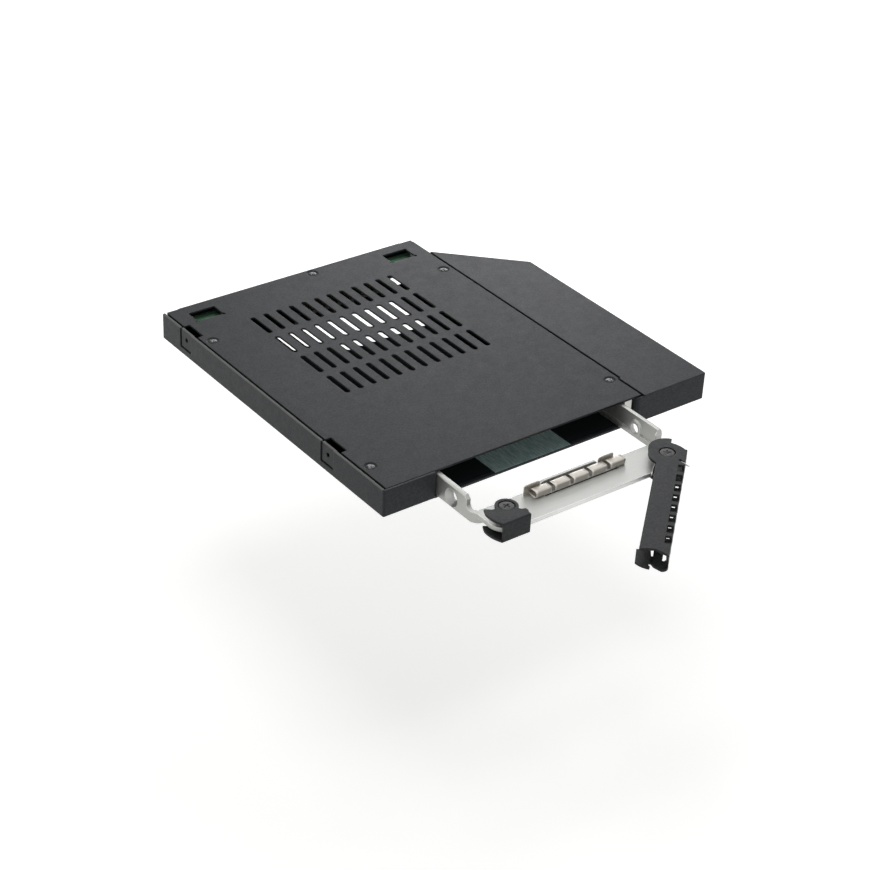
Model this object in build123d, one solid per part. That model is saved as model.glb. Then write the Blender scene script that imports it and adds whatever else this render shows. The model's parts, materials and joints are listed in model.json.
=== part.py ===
import os
from math import acos, atan2, cos, pi, sin

from build123d import *

# Mobile rack for one 2.5 inch drive, in the outline of a 9.5 mm optical drive, with its tray
# pulled part of the way out and the tray's lever swung open.
# Sizes are millimetres. While it is built, x runs from the left wall to the right, y from the
# front wall to the back and z up from the floor's underside. Tray and lever are built as they
# stand when the tray is home. The last section shifts everything, so that the origin is the
# middle of the floor's underside.

# Chassis outline
bay_width = 128.0
shell_depth = 126.8
bay_height = 9.5
lane_width = 102.8
wall_sheet = 0.8
cover_sheet = 0.6
slant_rear_margin = 10.9
slant_depth = 24.7
fold_radius = 0.7
edge_radius = 0.25

# Mouth of the drive lane
mouth_gap = 0.5
mouth_from_lane_wall = 4.4
floor_front = 0.3
jamb_depth = 6.0
return_depth = 2.8
return_radius = 1.7
lane_wall_front = 11.0

# Cover and its fixings
cover_front = 1.1
cover_groove = 0.8
cover_side_gap = 1.2
cover_step = 0.7
cover_step_y = 12.7
seam_gap = 0.9
lip_top = 9.0
flange_inset = 6.0
flange_bottom = 1.5
screw_left = 4.65
screw_right_margin = 4.25
screw_front = 13.5
screw_rear_margin = 24.0
rear_screw_margin = 2.3
rear_screw_offset = 1.15
post_radius = 1.45
thread_radius = 0.8
screw_clearance = 0.25
head_clearance = 0.1
head_radius = 1.55
head_height = 0.33
dimple_radius = 2.15
dimple_depth = 0.35

# Vents and windows in the cover
vent_columns = 12
vent_pitch = 5.07
vent_row_count = 4
vent_row_pitch = 15.0
vent_rear_margin = 23.8
vent_offset = -5.57
vent_length = 12.0
vent_width = 2.0
window_left_margin = 7.2
window_right_margin = 6.6
window_width = 10.0
window_rear_margin = 4.3
window_length = 6.2
ear_radius = 0.6
tongue_drop = 1.2

# Vents in the floor: a long row and a shorter one in front of it, and one window on the right
floor_vent_shift = -0.8
floor_vent_width = 2.4
floor_vent_length = 13.6
floor_vent_web = 2.0
floor_vent_short = 7.1
floor_vent_first = 2
floor_vent_short_first = 5
floor_window_shift = -1.3

# Mounting leaves in the left wall
leaf_front = 26.4
leaf_rear_margin = 11.6
leaf_width = 6.2
leaf_bottom = 3.0
leaf_slit = 0.55
leaf_inset = 0.25
leaf_hole_z = 6.3
leaf_hole_from_front = 3.1
collar_radius = 1.5
collar_depth = 0.9
notch_depth = 2.1
notch_margin = 1.2

# Drive and the tray that grips it
drive_width = 69.85
drive_grip = 0.025
drive_hole_from_front = 9.4
drive_hole_from_rear = 14.0
drive_hole_height = 3.0
drive_plug_height = 3.5
drive_plug_offset = 4.8
drive_rear_margin = 12.6
drive_front_gap = 0.9
lane_middle_margin = 45.85
pull_out = 30.5
arm_sheet = 1.6
arm_top = 8.4
arm_board_gap = 3.5
arm_end_chamfer = 1.6
arm_edge_radius = 0.6
tray_lift = 0.1
drive_lift = 0.1
ledge_height = 1.6
ledge_gap = 0.05
seat_depth = 0.6
seat_pad_radius = 2.5
seat_foot_radius = 3.0
seat_mouth_radius = 2.95
seat_hole_radius = 1.6
band_front = 11.6
band_sheet = 1.7
band_top = 4.4
band_corner = 3.2
band_inner_corner = 1.6
left_step_y = 16.4
right_step_y = 12.8
step_radius = 1.6
step_chamfer = 1.2

# Front plate of the tray
plate_front = 0.7
plate_bottom = 3.1
plate_top = 4.6
plate_left_reach = 6.9
plate_left_corner = 5.5
plate_right_reach = 4.9
rib_length = 22.3
rib_offset = -1.15
rib_sheet = 0.8
rib_top = 7.0
rib_corner = 1.5
slot_length = 28.9
slot_offset = 1.0
slot_front = 8.3
slot_width = 0.7

# Rolled finger strip on the front plate
strip_sheet = 0.15
finger_count = 5
finger_pitch = 7.25
finger_width = 5.85
finger_height = 2.4
finger_depth = 3.1
finger_round = 1.0
tab_width = 6.1
tab_height = 3.2
tab_offset = -1.4
strip_rib_gap = 0.15

# Clip and lever are folded from one thickness and share their two flange heights
flange_sheet = 0.8
flange_low = 1.2
flange_high = 7.9

# Clip at the left end of the plate
clip_screw_inset = 7.7
clip_screw_y = 7.1
clip_boss_radius = 3.6
clip_front = -0.3
clip_left_reach = 6.6
clip_right_reach = 3.4
clip_horn_reach = 3.9
clip_lug_radius = 2.6

# Lever: its own x runs from the pivot to the tip and its own y to the outer face
pivot_inset = 7.0
pivot_y = 3.3
open_angle = 42.6
lever_inner = -2.8
lever_outer = 6.0
lever_wall_start = -2.8
lever_tip_gap = 2.2
tip_slant = 1.3
head_round = 5.7
hook_reach = 7.9
hook_face = 0.65
hook_root = 5.5
lever_vent_count = 8
lever_vent_last = 6.31
lever_vent_first = 8.27
lever_vent_length = 3.9
lever_vent_inner = 4.0
lever_vent_drop = 1.7
pivot_radius = 1.5
pivot_running = 0.06
lug_radius = 2.4
running_gap = 0.05
pivot_pad_radius = 4.0
pivot_pad_depth = 0.6
pivot_recess_radius = 2.65
pivot_head_radius = 2.35
pivot_recess_depth = 0.9
tip_window_start = 10.0
tip_window_end = 5.4
tip_window_width = 1.55
tip_slit_start = 7.2
tip_slit_end = 3.9
tip_slit_width = 0.7

# Latch pawl in the lever's open end
pawl_sheet = 0.6
pawl_pin_from_tip = 13.0
pawl_pin_head = 0.3
pawl_pin_y = -0.4
pawl_pin_radius = 0.6
pawl_reach = 14.6
pawl_thumb = -3.9

# Torsion spring round the pivot
spring_wire = 0.2
spring_turn_count = 2
spring_pitch = 0.5
spring_step_count = 12
spring_gap = 0.33
spring_leg_reach = 9.3
spring_slot_gap = 0.2
spring_lift = 0.15

# Guide rails and catch beside the lane
rail_gap = 0.3
rail_front = 13.0
rail_board_gap = 4.0
rail_sheet = 0.8
rail_foot_margin = 14.0
foot_width = 8.0
foot_length = 5.6
rivet_radius = 1.4
rivet_height = 0.5
catch_tray_gap = 0.4
catch_wing_gap = 0.4
catch_sheet = 1.0
catch_gap = 0.3
catch_rear = 9.8

# Backplane
board_left = 6.6
board_right_margin = 1.8
board_depth = 12.4
board_rear_margin = 2.4
board_drive_gap = 0.4
board_bottom = 5.6
board_sheet = 1.0
board_corner = 1.0
spacer_inset = 2.6
spacer_front_margin = 2.4
spacer_rear_margin = 2.2
rear_spacer_offset = 18.0
spacer_radius = 2.0
board_screw_radius = 1.6
board_screw_height = 0.9
post_notch_gap = 0.3
plug_body_width = 42.1
plug_drive_gap = 0.2
plug_body_depth = 5.6
plug_reach = 4.6
plug_body_height = 4.0
blade_sheet = 1.2
power_pins = 15
signal_pins = 7
contact_pitch = 1.27
contact_width = 0.6
contact_sheet = 0.15
rear_plug_left = 6.8
rear_plug_width = 31.0
rear_plug_depth = 6.4
rear_plug_bottom = 1.6
rear_plug_wall = 1.0
rear_pins = 13
rear_plug_gap = 0.2

# Places across the width, which follow from the sizes above
tray_middle = lane_width - lane_middle_margin
arm_gap = drive_width + 2 * (seat_depth + drive_grip)
arm_left = tray_middle - arm_gap / 2
arm_right = tray_middle + arm_gap / 2
tray_left = arm_left - arm_sheet
tray_right = arm_right + arm_sheet
mouth_left = tray_left - mouth_gap
mouth_right = lane_width - mouth_from_lane_wall
cover_right = lane_width - cover_side_gap
wing_rim_left = cover_right + seam_gap + wall_sheet
flange_left = flange_inset
flange_right = lane_width - flange_inset
vent_pitch_span = (vent_columns - 1) * vent_pitch
vent_first_x = tray_middle + vent_offset - vent_pitch_span / 2
window_lefts = [window_left_margin, lane_width - window_right_margin - window_width]
clip_screw_x = tray_left + clip_screw_inset
clip_left = clip_screw_x - clip_left_reach
clip_right = clip_screw_x + clip_right_reach
clip_horn = clip_screw_x + clip_horn_reach
pivot_x = tray_right - pivot_inset
plate_left = clip_screw_x - plate_left_reach
plate_right = pivot_x + plate_right_reach
rib_left = tray_middle + rib_offset - rib_length / 2
rib_right = rib_left + rib_length
slot_left = tray_middle + slot_offset - slot_length / 2
slot_right = slot_left + slot_length
strip_length = finger_pitch * (finger_count - 1) + finger_width
strip_left = tray_middle - strip_length / 2
catch_left = tray_right + catch_tray_gap
catch_right = mouth_right - catch_wing_gap
board_right = lane_width - board_right_margin
plug_middle = tray_middle + drive_plug_offset
lever_tip = pivot_x - clip_horn - lever_tip_gap
lever_turn = 180 + open_angle
pawl_pin_x = lever_tip - pawl_pin_from_tip
pawl_tip = pawl_pin_x + pawl_reach
spring_radius = lug_radius + spring_gap + spring_wire

# Places along the depth
slant_rear = shell_depth - slant_rear_margin
slant_front = slant_rear - slant_depth
side_slope = slant_depth / (bay_width - lane_width)
slant_angle = atan2(slant_depth, bay_width - lane_width)
window_front = shell_depth - window_rear_margin - window_length
leaf_fronts = [leaf_front, shell_depth - leaf_rear_margin - leaf_width]
last_vent_row = shell_depth - vent_rear_margin
vent_rows = [last_vent_row - row * vent_row_pitch for row in range(vent_row_count)]
floor_vent_row = last_vent_row + (vent_length - floor_vent_length) / 2
floor_short_row = floor_vent_row - (floor_vent_length + floor_vent_short) / 2 - floor_vent_web
band_rear = band_front + band_sheet
drive_rear = shell_depth - drive_rear_margin
drive_holes = [band_rear + drive_front_gap + drive_hole_from_front, drive_rear - drive_hole_from_rear]
board_rear = shell_depth - board_rear_margin
board_front = board_rear - board_depth
board_lane_front = drive_rear + board_drive_gap
arm_rear = board_front - arm_board_gap
rail_rear = board_front - rail_board_gap
rail_feet = [rail_front + rail_foot_margin, (rail_front + rail_rear) / 2, rail_rear - rail_foot_margin]
plug_body_front = drive_rear + plug_drive_gap
plug_body_rear = plug_body_front + plug_body_depth
rear_plug_front = shell_depth - rear_plug_depth
catch_back = pivot_y - hook_face - catch_gap

# Heights
cover_bottom = bay_height - cover_sheet
tray_bottom = wall_sheet + tray_lift
drive_bottom = tray_bottom + drive_lift
seat_z = drive_bottom + drive_hole_height
blade_top = drive_bottom + drive_plug_height
blade_z = (blade_top - blade_sheet, blade_top)
board_top = board_bottom + board_sheet
chassis_screw_top = cover_bottom + cover_sheet - dimple_depth + head_height

# Screws through the cover, the last one at the rear, and the board's spacers
screw_places = [
    (screw_left, screw_front), (lane_width - screw_right_margin, screw_front),
    (screw_left, shell_depth - screw_rear_margin),
    (lane_width - screw_right_margin, shell_depth - screw_rear_margin),
    (tray_middle + rear_screw_offset, shell_depth - rear_screw_margin)]
spacer_places = [
    (board_left + spacer_inset, board_front + spacer_front_margin),
    (board_right - spacer_inset, board_front + spacer_front_margin),
    (tray_middle + rear_spacer_offset, board_rear - spacer_rear_margin)]


# A box between two limits on each axis.
def block(x, y, z):
    size = [high - low for low, high in (x, y, z)]
    middle = [(low + high) / 2 for low, high in (x, y, z)]
    return Pos(*middle) * Box(*size)


# A flat outline given thickness between two heights.
def slab(outline, z):
    return extrude(Pos(0, 0, z[0]) * outline, amount=z[1] - z[0])


# A closed outline through corner points.
def outline_of(*points):
    return Polygon(*points, align=None)


# An upright round bar.
def upright(place, radius, z):
    return Pos(place[0], place[1], (z[0] + z[1]) / 2) * Cylinder(radius, z[1] - z[0])


# A round bar between two points.
def rod(start, end, radius):
    start = Vector(*start)
    run = Vector(*end) - start
    return Solid.make_cylinder(radius, run.length, Plane(origin=start, z_dir=run))


# The edge along an axis that lies nearest to a point.
def edge_at(shape, axis, point):
    return shape.edges().filter_by(axis).sort_by_distance(point)[0]


# A cross recess, cut into a screw head from its top.
def cross_recess(place, top, reach, depth):
    width = reach / 3
    arm = Box(2 * reach, width, depth) + Box(width, 2 * reach, depth)
    return Pos(place[0], place[1], top - depth / 2) * Rot(0, 0, 20) * arm


# The wing's slanted corner: its y at a given x, moved in by a wall's thickness.
def slant_y(x, inset=0.0):
    return slant_front + (bay_width - x) * side_slope - inset / cos(slant_angle)


# A row of upright slots, from the given column to the last.
def vent_row(row, length, width, first=0):
    cuts = Sketch()
    for column in range(first, vent_columns):
        cuts += Pos(vent_first_x + column * vent_pitch, row) * SlotOverall(length, width, rotation=90)
    return cuts


# One rectangular window near the rear edge.
def window_at(left):
    middle = Pos(left + window_width / 2, window_front + window_length / 2)
    return middle * Rectangle(window_width, window_length)


# The cover's two windows, with relief ears at their front corners.
def cover_windows():
    cuts = Sketch()
    for left in window_lefts:
        cuts += window_at(left)
        for x in (left, left + window_width):
            cuts += Pos(x, window_front) * Circle(ear_radius)
    return cuts


# The openings in the floor, which sit a little to the left of the cover's.
def floor_openings():
    cuts = vent_row(floor_vent_row, floor_vent_length, floor_vent_width, floor_vent_first)
    cuts += vent_row(floor_short_row, floor_vent_short, floor_vent_width, floor_vent_short_first)
    cuts = Pos(floor_vent_shift, 0) * cuts
    return cuts + Pos(0, floor_window_shift) * window_at(window_lefts[-1])


# The folded shell: floor, left wall, left part of the front with its jamb, rear wall and the
# wall between the lane and the wing. Two leaves in the left wall are lanced free and set in.
def base_shell():
    shell = left_trough()
    wing_inside = bay_width - wall_sheet
    floor = outline_of(
        (wall_sheet, wall_sheet), (mouth_left, wall_sheet), (mouth_left, floor_front),
        (mouth_right, floor_front), (mouth_right, wall_sheet), (wing_inside, wall_sheet),
        (wing_inside, slant_y(wing_inside, wall_sheet)), (lane_width, slant_y(lane_width, wall_sheet)),
        (lane_width, shell_depth - wall_sheet), (wall_sheet, shell_depth - wall_sheet))
    shell += slab(floor, (0, wall_sheet))
    lane_top = bay_height - wall_sheet
    shell += block((lane_width - wall_sheet, lane_width), (lane_wall_front, shell_depth), (0, lane_top))
    rear = block((wall_sheet, lane_width), (shell_depth - wall_sheet, shell_depth), (0, lane_top))
    shell += fillet(edge_at(rear, Axis.X, (lane_width / 2, shell_depth, 0)), fold_radius)
    for front in leaf_fronts:
        shell = leaf_in(shell, front)
    shell -= slab(floor_openings(), (0, wall_sheet))
    rear_hole = block(
        (rear_plug_left - rear_plug_gap, rear_plug_left + rear_plug_width + rear_plug_gap),
        (shell_depth - wall_sheet, shell_depth),
        (rear_plug_bottom - rear_plug_gap, board_bottom + rear_plug_gap))
    return shell - rear_hole


# The left side of the shell: a rounded block from the left wall to the mouth, hollowed out to
# leave the left wall, the strip of front wall and the jamb that is folded back beside the mouth.
def left_trough():
    trough = block((0, mouth_left), (0, shell_depth), (0, bay_height))
    folds = [
        edge_at(trough, Axis.Y, (0, shell_depth / 2, 0)),
        edge_at(trough, Axis.X, (mouth_left / 2, 0, 0)),
        edge_at(trough, Axis.Z, (0, 0, bay_height / 2)),
        edge_at(trough, Axis.Z, (mouth_left, 0, bay_height / 2)),
    ]
    trough = fillet(folds, fold_radius)
    rims = [
        edge_at(trough, Axis.Y, (0, shell_depth / 2, bay_height)),
        edge_at(trough, Axis.X, (mouth_left / 2, 0, bay_height)),
    ]
    trough = fillet(rims, edge_radius)
    inside = (wall_sheet, mouth_left - wall_sheet)
    trough -= block(inside, (wall_sheet, shell_depth), (wall_sheet, bay_height))
    jamb = (mouth_left - wall_sheet, mouth_left)
    trough -= block(jamb, (wall_sheet, shell_depth), (cover_bottom, bay_height))
    return trough - block(jamb, (jamb_depth, shell_depth), (wall_sheet, bay_height))


# One mounting leaf: slit free at its rear and below, set in a little and tapped through a collar.
def leaf_in(shell, front):
    rear = front + leaf_width
    shell -= block((0, wall_sheet), (front, rear + leaf_slit), (leaf_bottom - leaf_slit, bay_height))
    leaf_x = (leaf_inset, leaf_inset + wall_sheet)
    shell += block(leaf_x, (front - wall_sheet, rear), (leaf_bottom, bay_height))
    hole_y = front + leaf_hole_from_front
    collar_end = leaf_x[1] + collar_depth
    shell += rod((leaf_x[0], hole_y, leaf_hole_z), (collar_end, hole_y, leaf_hole_z), collar_radius)
    return shell - rod((0, hole_y, leaf_hole_z), (collar_end, hole_y, leaf_hole_z), thread_radius)


# The flat cover, set down between the walls, with vents, windows, tongues and a rear flange.
def top_cover():
    left = wall_sheet + cover_groove
    flange_rear = shell_depth + cover_sheet
    outline = outline_of(
        (left, cover_front), (cover_right - cover_step, cover_front),
        (cover_right - cover_step, cover_step_y), (cover_right, cover_step_y),
        (cover_right, shell_depth), (flange_right, shell_depth), (flange_right, flange_rear),
        (flange_left, flange_rear), (flange_left, shell_depth), (left, shell_depth))
    for row in vent_rows:
        outline -= vent_row(row, vent_length, vent_width)
    outline -= cover_windows()
    for place in screw_places:
        outline -= Pos(*place) * Circle(thread_radius + screw_clearance)
    for front in leaf_fronts:
        notch_front = front - notch_margin - wall_sheet
        notch_rear = front + leaf_width + leaf_slit
        outline -= outline_of(
            (left, notch_front), (left + notch_depth, notch_front),
            (left + notch_depth, notch_rear), (left, notch_rear))
    cover = slab(outline, (cover_bottom, bay_height))
    flange_x = (flange_left, flange_right)
    cover += block(flange_x, (shell_depth, flange_rear), (flange_bottom, bay_height))
    cover = fillet(edge_at(cover, Axis.X, (lane_width / 2, flange_rear, bay_height)), cover_sheet * 0.8)
    for window_left in window_lefts:
        tongue_x = (window_left + 2 * ear_radius, window_left + window_width - 2 * ear_radius)
        tongue_y = (window_front - cover_sheet, window_front)
        cover += block(tongue_x, tongue_y, (cover_bottom - tongue_drop, cover_bottom))
    dimple = Cone(head_radius + head_clearance, dimple_radius, dimple_depth)
    for place in screw_places:
        cover -= Pos(place[0], place[1], bay_height - dimple_depth / 2) * dimple
    rear_hole = block(
        (rear_plug_left - rear_plug_gap, rear_plug_left + rear_plug_width + rear_plug_gap),
        (shell_depth, flange_rear), (flange_bottom, board_bottom + rear_plug_gap))
    return cover - rear_hole


# The wing that fills the bay outline on the right: a rounded block with the slanted corner,
# hollowed out from below and open towards the lane, with its front folded back at the mouth.
def wing_shell():
    top_left = cover_right + seam_gap
    outline = outline_of(
        (mouth_right, 0), (bay_width, 0), (bay_width, slant_front), (lane_width, slant_rear),
        (top_left, slant_rear), (top_left, return_depth), (mouth_right, return_depth))
    wing = slab(outline, (0, bay_height))
    corners = [
        edge_at(wing, Axis.Z, (bay_width, 0, bay_height / 2)),
        edge_at(wing, Axis.Z, (bay_width, slant_front, bay_height / 2)),
    ]
    wing = fillet(corners, fold_radius)
    wing = fillet(edge_at(wing, Axis.Z, (mouth_right, 0, bay_height / 2)), return_radius)
    rims = wing.edges().group_by(Axis.Z)[-1].filter_by(lambda edge: edge.center().X > wing_rim_left)
    wing = fillet(rims, edge_radius)
    skin_bottom = bay_height - wall_sheet
    inside = outline_of(
        (mouth_right + wall_sheet, wall_sheet), (bay_width - wall_sheet, wall_sheet),
        (bay_width - wall_sheet, slant_y(bay_width - wall_sheet, wall_sheet)),
        (lane_width, slant_y(lane_width, wall_sheet)), (top_left, slant_y(lane_width, wall_sheet)),
        (top_left, return_depth), (mouth_right + wall_sheet, return_depth))
    return_corner = inside.vertices().sort_by_distance((mouth_right + wall_sheet, wall_sheet, 0))[0]
    inside = fillet(return_corner, return_radius - wall_sheet)
    wing -= slab(inside, (0, skin_bottom))
    wing -= block((top_left, lane_width), (return_depth, slant_rear), (0, skin_bottom))
    cover_side = (mouth_right, top_left - cover_step)
    wing -= block(cover_side, (0, return_depth), (lip_top, bay_height))
    wing -= block(cover_side, (wall_sheet, return_depth), (skin_bottom, lip_top))
    wing -= block((mouth_right, mouth_right + return_radius), (wall_sheet, return_depth), (0, wall_sheet))
    step = block((top_left - cover_step, top_left), (wall_sheet, cover_step_y), (skin_bottom, bay_height))
    return wing + step


# The threaded posts that stand on the floor under the cover's screws.
def cover_posts():
    posts = []
    for place in screw_places:
        post = upright(place, post_radius, (wall_sheet, cover_bottom))
        posts.append(post - upright(place, thread_radius, (cover_bottom / 2, cover_bottom)))
    return posts


# The small cover screws, each sunk in its dimple.
def cover_screws():
    screws = []
    seat = cover_bottom + cover_sheet - dimple_depth
    for place in screw_places:
        screw = upright(place, thread_radius, (cover_bottom * 0.6, seat))
        screw += upright(place, head_radius, (seat, chassis_screw_top))
        screw = chamfer(screw.edges().group_by(Axis.Z)[-1], head_height / 2)
        screws.append(screw - cross_recess(place, chassis_screw_top, head_radius * 0.6, head_height / 2))
    return screws


# A guide rail: an upright sheet beside the tray with three feet that are riveted to the floor.
# side is -1 on the left of the tray and 1 on its right.
def guide_rail(side):
    inner = (tray_right if side > 0 else tray_left) + side * rail_gap
    outer = inner + side * rail_sheet
    rail_top = cover_bottom - rail_gap
    rail = block(sorted((inner, outer)), (rail_front, rail_rear), (wall_sheet, rail_top))
    for y in rail_feet:
        foot_x = sorted((inner, outer + side * foot_length))
        foot_z = (wall_sheet, wall_sheet + rail_sheet)
        rail += block(foot_x, (y - foot_width / 2, y + foot_width / 2), foot_z)
        rail -= upright((rivet_x(side), y), rivet_radius / 2, foot_z)
    lead = edge_at(rail, Axis.X, ((inner + outer) / 2, rail_front, rail_top))
    return chamfer(lead, rail_sheet * 2)


# The middle of a rail's feet.
def rivet_x(side):
    inner = (tray_right if side > 0 else tray_left) + side * rail_gap
    return inner + side * (rail_sheet + foot_length / 2)


# Domed rivets that hold the rails and the catch.
def rivets():
    parts = []
    places = [(rivet_x(side), y, rail_sheet) for side in (-1, 1) for y in rail_feet]
    catch_x = (catch_right + lane_width - wall_sheet) / 2
    places.append((catch_x, (catch_foot_front() + catch_rear) / 2, catch_sheet))
    for x, y, thickness in places:
        seat = wall_sheet + thickness
        rivet = upright((x, y), rivet_radius / 2, (wall_sheet, seat))
        rivet += upright((x, y), rivet_radius, (seat, seat + rivet_height))
        parts.append(chamfer(rivet.edges().group_by(Axis.Z)[-1], rivet_height * 0.7))
    return parts


# The catch's foot starts just behind the wing's folded return.
def catch_foot_front():
    return return_depth + catch_gap


# The bare catch: its front leg stands across the hook's path, its foot is riveted to the floor.
def catch_bracket():
    top = cover_bottom - catch_gap
    catch = block((catch_left, catch_right), (catch_back - catch_sheet, catch_back), (wall_sheet, top))
    side = (catch_right - catch_sheet, catch_right)
    catch += block(side, (catch_back - catch_sheet, catch_rear), (wall_sheet, top))
    catch = fillet(edge_at(catch, Axis.Z, (catch_right, catch_back - catch_sheet, top / 2)), fold_radius)
    foot_end = lane_width - wall_sheet - catch_gap
    foot_z = (wall_sheet, wall_sheet + catch_sheet)
    catch += block((catch_right, foot_end), (catch_foot_front(), catch_rear), foot_z)
    hole = ((catch_right + lane_width - wall_sheet) / 2, (catch_foot_front() + catch_rear) / 2)
    return catch - upright(hole, rivet_radius / 2, foot_z)


# The backplane board, notched round the rear cover post and set back where the drive ends.
def backplane_board():
    board = block((board_left, board_right), (board_front, board_rear), (board_bottom, board_top))
    board = fillet(board.edges().filter_by(Axis.Z), board_corner)
    rear_post = screw_places[-1]
    notch = post_radius + post_notch_gap
    board -= upright(rear_post, notch, (board_bottom, board_top))
    board -= block((tray_left, tray_right), (board_front, board_lane_front), (board_bottom, board_top))
    for place in spacer_places:
        board -= upright(place, thread_radius, (board_bottom, board_top))
    return board


# The spacers that carry the board.
def board_spacers():
    spacers = []
    for place in spacer_places:
        spacer = upright(place, spacer_radius, (wall_sheet, board_bottom))
        spacers.append(spacer - upright(place, thread_radius, (board_bottom / 2, board_bottom)))
    return spacers


# The screws through the board into its spacers.
def board_screws():
    screws = []
    top = board_top + board_screw_height
    for place in spacer_places:
        screw = upright(place, thread_radius, (board_bottom * 0.6, board_top))
        screw += upright(place, board_screw_radius, (board_top, top))
        screw = chamfer(screw.edges().group_by(Axis.Z)[-1], board_screw_height / 3)
        screws.append(screw - cross_recess(place, top, board_screw_radius * 0.6, board_screw_height / 2))
    return screws


# Left end and width of the power and the signal blade, side by side about the plug's middle.
def blade_spans():
    power = power_pins * contact_pitch + contact_pitch
    signal = signal_pins * contact_pitch + contact_pitch
    gap = contact_pitch * 1.9
    left = plug_middle - (power + signal + gap) / 2
    return (left, power), (left + power + gap, signal)


# The receptacle: a body under the board, two keyed blades and a guide horn at each end.
def drive_receptacle():
    left = plug_middle - plug_body_width / 2
    right = plug_middle + plug_body_width / 2
    body_z = (board_bottom - plug_body_height, board_bottom)
    body = block((left, right), (plug_body_front, plug_body_rear), body_z)
    blade_front = plug_body_front - plug_reach
    for start, width in blade_spans():
        body += block((start, start + width), (blade_front, plug_body_front), blade_z)
        key = (start + width - blade_sheet, start + width)
        body += block(key, (blade_front, plug_body_front), (blade_z[0] - blade_sheet, blade_z[0]))
    horn = 2.0
    for horn_x in ((left, left + horn), (right - horn, right)):
        body += block(horn_x, (blade_front - horn / 2, plug_body_front), body_z)
    return body


# The receptacle's contacts, in rows on top of the two blades.
def receptacle_contacts():
    contacts = []
    reach = (plug_body_front - plug_reach * 0.85, plug_body_front)
    for (start, width), count in zip(blade_spans(), (power_pins, signal_pins)):
        for index in range(count):
            x = start + contact_pitch * (index + 1)
            span = (x - contact_width / 2, x + contact_width / 2)
            contacts.append(block(span, reach, (blade_top, blade_top + contact_sheet)))
    return contacts


# The rear plug: a shroud open to the back with one blade inside.
def rear_connector():
    span = (rear_plug_left, rear_plug_left + rear_plug_width)
    shroud = block(span, (rear_plug_front, shell_depth), (rear_plug_bottom, board_bottom))
    inner = (span[0] + rear_plug_wall, span[1] - rear_plug_wall)
    inner_z = (rear_plug_bottom + rear_plug_wall, board_bottom - rear_plug_wall)
    mouth = (rear_plug_front + 2 * rear_plug_wall, shell_depth)
    shroud -= block(inner, mouth, (rear_plug_bottom + rear_plug_wall / 2, board_bottom - rear_plug_wall / 2))
    blade = (inner[0] + rear_plug_wall, inner[1] - rear_plug_wall)
    middle = (inner_z[0] + inner_z[1]) / 2
    return shroud + block(blade, mouth, (middle - rear_plug_wall / 2, middle + rear_plug_wall / 2))


# The rear plug's contacts, on top of its blade.
def rear_contacts():
    contacts = []
    seat = (rear_plug_bottom + board_bottom + rear_plug_wall) / 2
    first = rear_plug_left + (rear_plug_width - (rear_pins - 1) * 2 * contact_pitch * 0.75) / 2
    for index in range(rear_pins):
        x = first + index * 2 * contact_pitch * 0.75
        span = (x - contact_width / 2, x + contact_width / 2)
        reach = (rear_plug_front + 2 * rear_plug_wall, shell_depth - rear_plug_wall)
        contacts.append(block(span, reach, (seat, seat + contact_sheet)))
    return contacts


# The tray frame: two arms with ledges and pressed seats, the cross band and the front plate.
def tray_frame():
    outer = block((tray_left, tray_right), (band_front, arm_rear), (tray_bottom, arm_top))
    outer = chamfer(edge_at(outer, Axis.X, (tray_middle, arm_rear, arm_top)), arm_end_chamfer)
    outer_corners = [edge_at(outer, Axis.Z, (x, band_front, band_top)) for x in (tray_left, tray_right)]
    outer = fillet(outer_corners, band_corner)
    inner = block((arm_left, arm_right), (band_rear, arm_rear), (tray_bottom, arm_top))
    inner_corners = [edge_at(inner, Axis.Z, (x, band_rear, band_top)) for x in (arm_left, arm_right)]
    inner = fillet(inner_corners, band_inner_corner)
    rims = [edge_at(outer, Axis.Y, (x, arm_rear, arm_top)) for x in (tray_left, tray_right)]
    frame = fillet(rims, arm_edge_radius) - inner
    right_corner = arm_right - band_inner_corner
    frame -= arm_step((tray_left, right_corner), left_step_y)
    frame -= arm_step((right_corner, tray_right), right_step_y)
    for wall, side in ((arm_left, 1), (arm_right, -1)):
        ledge_x = sorted((wall, wall + side * (seat_depth - ledge_gap)))
        frame += block(ledge_x, (band_rear, arm_rear), (tray_bottom, tray_bottom + ledge_height))
    frame += front_plate()
    for wall, side in ((arm_left, 1), (arm_right, -1)):
        for y in drive_holes:
            frame = drive_seat(frame, wall, side, y)
    return frame


# What is cut away above the band, so that an arm steps down at the given y with a rounded foot.
def arm_step(x, step_y):
    top = arm_top + step_chamfer
    profile = outline_of(
        (0, band_top), (step_y, band_top), (step_y, arm_top - step_chamfer),
        (step_y + step_chamfer, arm_top), (step_y + step_chamfer, top), (0, top))
    foot = profile.vertices().sort_by_distance((step_y, band_top, 0))[0]
    profile = fillet(foot, step_radius)
    return extrude(Plane.YZ.offset(x[0]) * profile, amount=x[1] - x[0])


# One drive seat: a coned pad pressed inwards from the arm, with a screw hole.
def drive_seat(frame, wall, side, y):
    outside = wall - side * arm_sheet
    pad_face = wall + side * seat_depth
    turn = Rot(0, 90 * side, 0)
    pad = Cone(seat_foot_radius, seat_pad_radius, seat_depth)
    frame += Pos(wall + side * seat_depth / 2, y, seat_z) * turn * pad
    recess = Cone(seat_mouth_radius, seat_hole_radius, arm_sheet)
    frame -= Pos(outside + side * arm_sheet / 2, y, seat_z) * turn * recess
    return frame - rod((outside, y, seat_z), (pad_face, y, seat_z), seat_hole_radius)


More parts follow.
